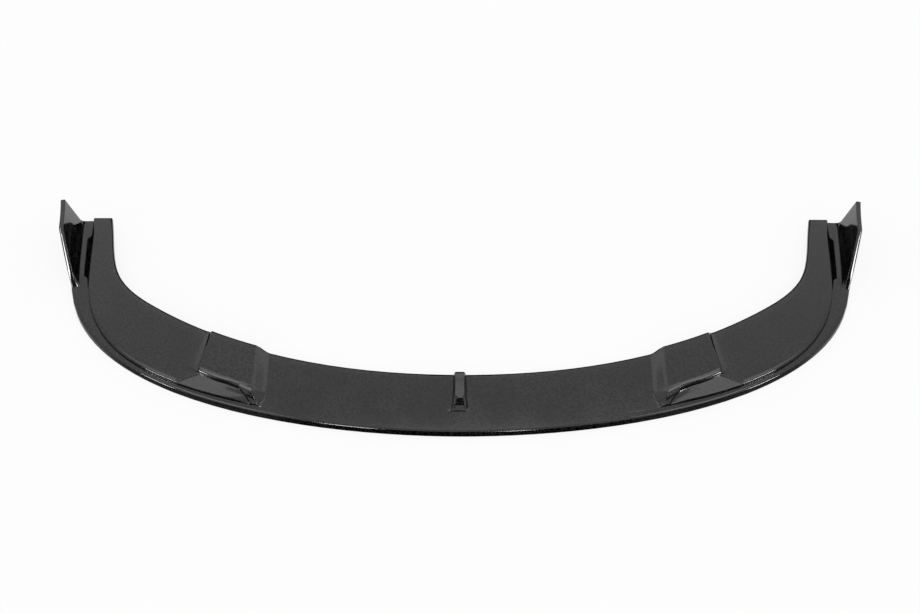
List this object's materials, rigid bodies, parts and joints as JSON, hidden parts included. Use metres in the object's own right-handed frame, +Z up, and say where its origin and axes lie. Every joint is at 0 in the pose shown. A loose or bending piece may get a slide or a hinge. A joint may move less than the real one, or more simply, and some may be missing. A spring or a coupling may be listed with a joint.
{
  "type": "front splitter lip",
  "caption": "U-shaped front splitter lip for a car, with raised side plates, scooped pods, a small centre fin and an upright winglet at the end of each arm.",
  "frame": {"origin": "centre of the bounding box, at the lower rim the lip rests on", "axes": "-Y toward the car's front, +X toward the car's left side, +Z up"},
  "size_m": [1.7948, 0.537, 0.112],
  "materials": {
    "gloss_black_abs": "gloss black, polished"
  },
  "bodies": {
    "root": {"splitter_lip": "gloss_black_abs"}
  },
  "joints": []
}
